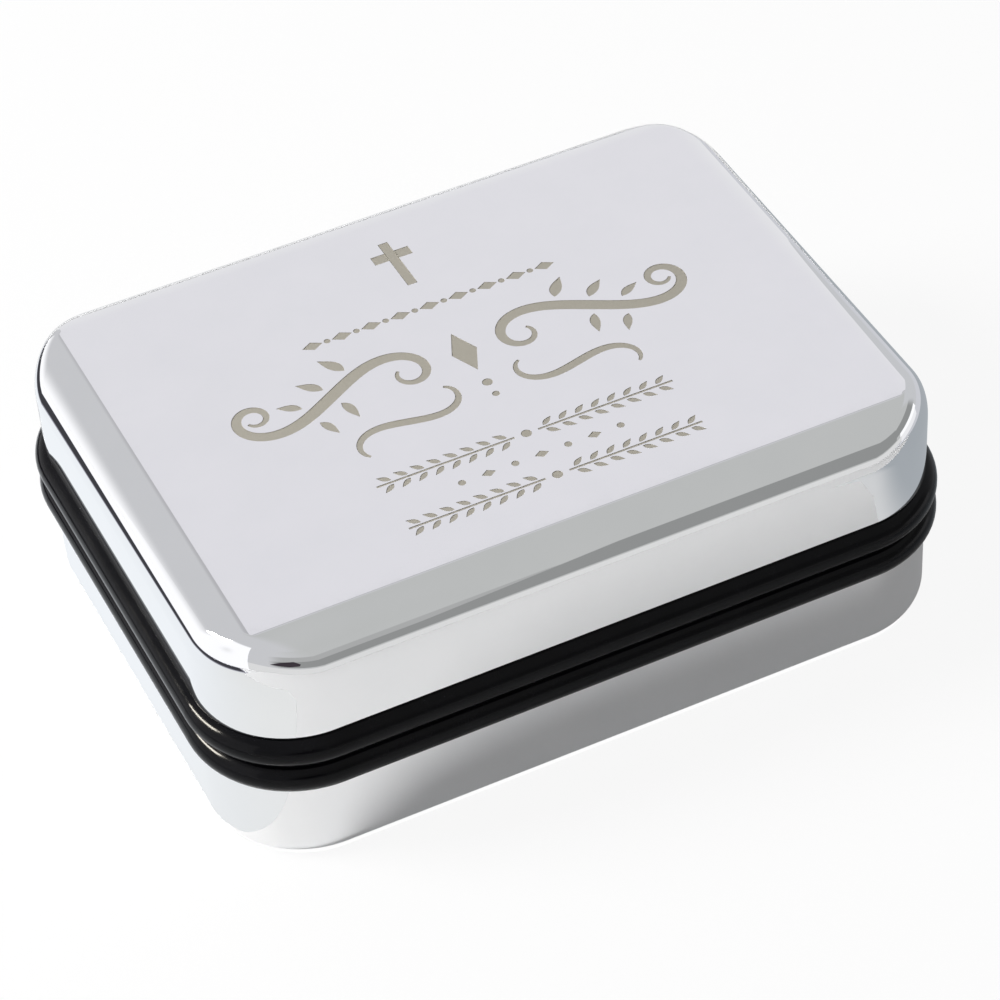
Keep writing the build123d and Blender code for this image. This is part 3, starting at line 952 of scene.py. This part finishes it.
# painted light: a pale bluish sheet beside the left wall, which the left walls mirror instead of
# the floor there, a little darker towards the front
flat_sheet("left_painted_light", [(-0.0405, -0.050), (-0.0405, 0.120), (-0.102, 0.120), (-0.102, -0.050)],
           (0.880, 0.890, 0.885), (0.95, 0.985, 1.02), "Y", -0.050, 0.010)

# painted reflection of the dark line under the lid's rounded edge: strips on the floor, each
# darker and narrower than the last;
# a step gives how far its strip grows past the line, and its tone
line_near = [(-0.050, 0.088), (-0.077, 0.054), (-0.094, 0.033), (-0.099, 0.015), (-0.096, -0.052)]
line_steps = ((4.5 * MM, 0.50), (3.0 * MM, 0.33), (1.6 * MM, 0.20), (0.4 * MM, 0.11),
              (-0.6 * MM, 0.055))
for order, (grow, tone) in enumerate(line_steps):
    line = [(x + grow, y - grow) for x, y in line_near]
    line += [(-0.114 - grow, -0.052 - grow), (-0.118 - grow, 0.200), (-0.050, 0.200)]
    dark_line = flat_sheet("dark_line_" + str(order), line, (tone, tone, tone * 1.15))
    dark_line.location.z = SHEET_HEIGHT * (order + 1)

# the floor
FLOOR_REACH = 4.0 * TENT
FLOOR_TONE = 0.92
WHITENED = 0.90             # how far the floor that the camera sees goes to white
HOLLOW = 0.8 * MM           # the floor is open under the box, so that its underside shows


def floor_material():
    """A matt pale floor, nearly white to the camera, and clear from below."""
    material, tree, shader = new_material(
        "pale_floor", Base_Color=(FLOOR_TONE, FLOOR_TONE, FLOOR_TONE, 1.0), Roughness=0.9,
        Specular_IOR_Level=0.0)
    seen = tree.nodes.new("ShaderNodeLightPath")
    whiter = tree.nodes.new("ShaderNodeMath")
    whiter.operation = "MULTIPLY"
    whiter.inputs[1].default_value = WHITENED
    white = tree.nodes.new("ShaderNodeEmission")
    white.inputs["Color"].default_value = (1, 1, 1, 1)
    above = tree.nodes.new("ShaderNodeMixShader")
    tree.links.new(seen.outputs["Is Camera Ray"], whiter.inputs[0])
    tree.links.new(whiter.outputs["Value"], above.inputs["Fac"])
    tree.links.new(shader.outputs["BSDF"], above.inputs[1])
    tree.links.new(white.outputs["Emission"], above.inputs[2])
    side = tree.nodes.new("ShaderNodeNewGeometry")
    clear = tree.nodes.new("ShaderNodeBsdfTransparent")
    one_way = tree.nodes.new("ShaderNodeMixShader")
    tree.links.new(side.outputs["Backfacing"], one_way.inputs["Fac"])
    tree.links.new(above.outputs["Shader"], one_way.inputs[1])
    tree.links.new(clear.outputs["BSDF"], one_way.inputs[2])
    tree.links.new(one_way.outputs["Shader"], tree.nodes["Material Output"].inputs["Surface"])
    return material


brink = rounded_ring(HOLLOW, WALL_CORNER - HOLLOW, 0)
rim = [point.normalized() * FLOOR_REACH for point in brink]
turns = len(brink)
floor_faces = [(index, index + turns, (index + 1) % turns + turns, (index + 1) % turns)
               for index in range(turns)]
floor_mesh = bpy.data.meshes.new("floor")
floor_mesh.from_pydata(brink + rim, [], floor_faces)
floor = linked("floor", floor_mesh)
set_material(floor, floor_material())

# one round lamp, high at the left and behind, that metal doesn't mirror
KEY_PLACE = Vector((-0.412, 0.154, 0.3625))
KEY_SIZE = 0.24
KEY_POWER = 2.94
key_data = bpy.data.lights.new("key", "AREA")
key_data.shape = "DISK"
key_data.size = KEY_SIZE
key_data.energy = KEY_POWER
key = linked("key", key_data)
key.location = KEY_PLACE
key.rotation_euler = (-KEY_PLACE).to_track_quat("-Z", "Y").to_euler()
key.visible_glossy = False

# the room: white where it is seen, and a plain level of light on the box
AMBIENT = 0.36
world = bpy.data.worlds.new("white_room")
scene.world = world
world.use_nodes = True
room = world.node_tree
seen = room.nodes.new("ShaderNodeLightPath")
white_to = seen.outputs["Is Camera Ray"]
for other in ("Is Glossy Ray", "Is Transmission Ray"):
    either = room.nodes.new("ShaderNodeMath")
    either.operation = "MAXIMUM"
    room.links.new(white_to, either.inputs[0])
    room.links.new(seen.outputs[other], either.inputs[1])
    white_to = either.outputs["Value"]
level_of_light = room.nodes.new("ShaderNodeMapRange")
level_of_light.inputs["To Min"].default_value = AMBIENT
level_of_light.inputs["To Max"].default_value = 1.0
background = room.nodes["Background"]
background.inputs["Color"].default_value = (1, 1, 1, 1)
room.links.new(white_to, level_of_light.inputs["Value"])
room.links.new(level_of_light.outputs["Result"], background.inputs["Strength"])
